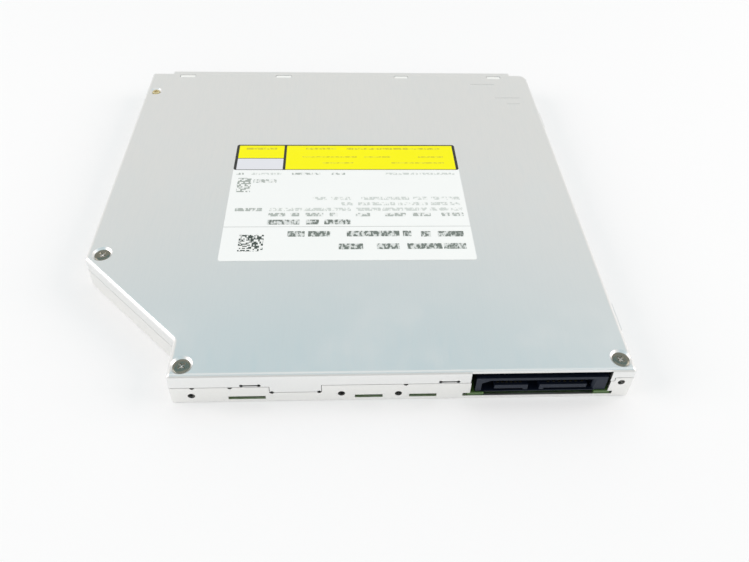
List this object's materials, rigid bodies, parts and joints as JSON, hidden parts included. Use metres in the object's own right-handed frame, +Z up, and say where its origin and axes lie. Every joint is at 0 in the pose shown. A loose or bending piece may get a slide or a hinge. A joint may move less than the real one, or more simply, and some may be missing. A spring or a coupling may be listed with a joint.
{
  "type": "slot-loading optical disc drive",
  "caption": "Slim slot-loading optical disc drive in a folded steel case with a notched corner, a slimline power and data connector, and a working loader, traverse and pickup inside.",
  "frame": {"origin": "underside of the case, below the middle of its outline", "axes": "+X to the right seen from the rear edge, +Y towards the disc slot at the front, +Z up through the labelled cover"},
  "size_m": [0.128, 0.127, 0.0096],
  "materials": {
    "cover_steel": "satin rolled steel sheet",
    "case_steel": "satin rolled steel sheet",
    "fittings_steel": "bright turned steel",
    "screw_steel": "dark passivated steel",
    "brass_screw": "yellow passivated",
    "label": "satin printed film",
    "white_plastic": "moulded white plastic",
    "black_plastic": "moulded black plastic",
    "grey_plastic": "moulded grey plastic",
    "board": "green solder mask",
    "chips": "moulded chip resin",
    "ceramic": "ceramic",
    "contact_gold": "gold flash",
    "flex_film": "polyimide film",
    "die_cast": "die-cast",
    "chassis_steel": "pressed zinc-coated steel",
    "rubber": "soft rubber",
    "copper": "enamelled copper",
    "lens_glass": "coated glass"
  },
  "bodies": {
    "root": {"top_cover": "cover_steel", "bottom_case": "case_steel", "cover_posts": "fittings_steel", "cover_screws": "screw_steel", "corner_screw": "brass_screw", "rating_label": "label", "upper_disc_guide": "white_plastic", "lower_disc_guide": "black_plastic", "main_board": "board", "board_spacers": "fittings_steel", "board_screws": "screw_steel", "controller_chip": "chips", "driver_chip": "chips", "memory_chip": "chips", "board_capacitors": "ceramic", "flex_sockets": "white_plastic", "pickup_flex": "flex_film", "sata_connector": "black_plastic", "connector_contacts": "contact_gold", "damper_posts": "fittings_steel", "gear_posts": "fittings_steel", "loading_motor": "chassis_steel", "worm_bracket": "chassis_steel", "slider_pins": "fittings_steel", "lever_posts": "fittings_steel"},
    "traverse": {"traverse_frame": "chassis_steel", "frame_dampers": "rubber", "main_guide_rod": "fittings_steel", "sub_guide_rod": "fittings_steel", "spindle_base": "chassis_steel", "stator_coils": "copper", "feed_motor": "chassis_steel", "screw_bracket": "chassis_steel"},
    "turntable": {"rotor_bell": "fittings_steel", "disc_pad": "rubber", "centring_hub": "black_plastic", "hub_claws": "grey_plastic"},
    "feed_screw": {"feed_screw": "fittings_steel"},
    "sled": {"pickup_body": "die_cast", "pickup_cover": "chassis_steel", "laser_module": "contact_gold", "actuator_magnets": "fittings_steel", "feed_nut": "white_plastic"},
    "lens": {"lens_holder": "black_plastic", "objective_lens": "lens_glass"},
    "main_slider": {"main_slider": "white_plastic"},
    "lift_slider": {"lift_slider": "chassis_steel"},
    "bell_crank": {"bell_crank": "chassis_steel"},
    "first_gear": {"first_gear": "white_plastic"},
    "second_gear": {"second_gear": "white_plastic"},
    "worm": {"loading_worm": "contact_gold"},
    "loading_arm": {"loading_arm": "chassis_steel"},
    "loading_roller": {"loading_roller": "white_plastic"},
    "eject_arm": {"eject_arm": "chassis_steel"},
    "eject_roller": {"eject_roller": "white_plastic"}
  },
  "joints": [
    {"name": "traverse_tilt", "type": "hinge", "parent": "root", "child": "traverse", "pos_m": [-0.05197, 0.05147, 0.0036], "axis": [-0.7071, -0.7071, 0], "range_deg": [0, 1.48]},
    {"name": "turntable_spin", "type": "hinge", "parent": "traverse", "child": "turntable", "pos_m": [0.00001, -0.00051, 0.0031], "axis": [0.0183, -0.0183, 0.9997], "continuous": true},
    {"name": "feed_screw_turn", "type": "hinge", "parent": "traverse", "child": "feed_screw", "pos_m": [-0.00863, 0.0333, 0.00278], "axis": [-0.7069, 0.7069, 0.0259], "range_deg": [0, 4080]},
    {"name": "sled_slide", "type": "slide", "parent": "traverse", "child": "sled", "axis": [-0.7069, 0.7069, 0.0259], "range_m": [0, 0.034]},
    {"name": "lens_focus", "type": "slide", "parent": "sled", "child": "lens", "axis": [0.0183, -0.0183, 0.9997], "range_m": [-0.0004, 0.0006], "stiffness_N_per_m": 60},
    {"name": "main_slide", "type": "slide", "parent": "root", "child": "main_slider", "axis": [0, -1, 0], "range_m": [0, 0.008]},
    {"name": "lift_slide", "type": "slide", "parent": "root", "child": "lift_slider", "axis": [1, 0, 0], "range_m": [0, 0.008]},
    {"name": "bell_crank_swing", "type": "hinge", "parent": "root", "child": "bell_crank", "pos_m": [0.045, -0.036, 0.0018], "axis": [0, 0, 1], "range_deg": [-38.94, 0]},
    {"name": "first_gear_turn", "type": "hinge", "parent": "root", "child": "first_gear", "pos_m": [0.0464, 0.02031, 0.003], "axis": [0, 0, 1], "range_deg": [0, 397.56]},
    {"name": "second_gear_turn", "type": "hinge", "parent": "root", "child": "second_gear", "pos_m": [0.0512, 0.012, 0.003], "axis": [0, 0, 1], "range_deg": [-163.7, 0]},
    {"name": "worm_turn", "type": "hinge", "parent": "root", "child": "worm", "pos_m": [0.046, 0.02741, 0.00295], "axis": [1, 0, 0], "range_deg": [0, 11131.75]},
    {"name": "loading_arm_swing", "type": "hinge", "parent": "root", "child": "loading_arm", "pos_m": [0.0585, 0.0575, 0.0057], "axis": [0, 0, 1], "range_deg": [0, 26]},
    {"name": "loading_roller_spin", "type": "hinge", "parent": "loading_arm", "child": "loading_roller", "pos_m": [0.04191, 0.02165, 0.0072], "axis": [0, 0, 1], "continuous": true},
    {"name": "eject_arm_swing", "type": "hinge", "parent": "root", "child": "eject_arm", "pos_m": [0.012, -0.036, 0.0057], "axis": [0, 0, 1], "range_deg": [-42, 0]},
    {"name": "eject_roller_spin", "type": "hinge", "parent": "eject_arm", "child": "eject_roller", "pos_m": [0.03909, -0.00133, 0.0072], "axis": [0, 0, 1], "continuous": true}
  ],
  "couplings": [
    {"joint": "lift_slide", "follows": "main_slide", "ratio": 1},
    {"joint": "bell_crank_swing", "follows": "main_slide", "rad_per_m": -84.959},
    {"joint": "second_gear_turn", "follows": "main_slide", "rad_per_m": -357.14},
    {"joint": "first_gear_turn", "follows": "main_slide", "rad_per_m": 867.35},
    {"joint": "worm_turn", "follows": "main_slide", "rad_per_m": 24286},
    {"joint": "loading_arm_swing", "follows": "main_slide", "rad_per_m": 56.723},
    {"joint": "eject_arm_swing", "follows": "main_slide", "rad_per_m": -91.63},
    {"joint": "traverse_tilt", "follows": "main_slide", "rad_per_m": 3.2317},
    {"joint": "feed_screw_turn", "follows": "sled_slide", "rad_per_m": 2094.4}
  ]
}
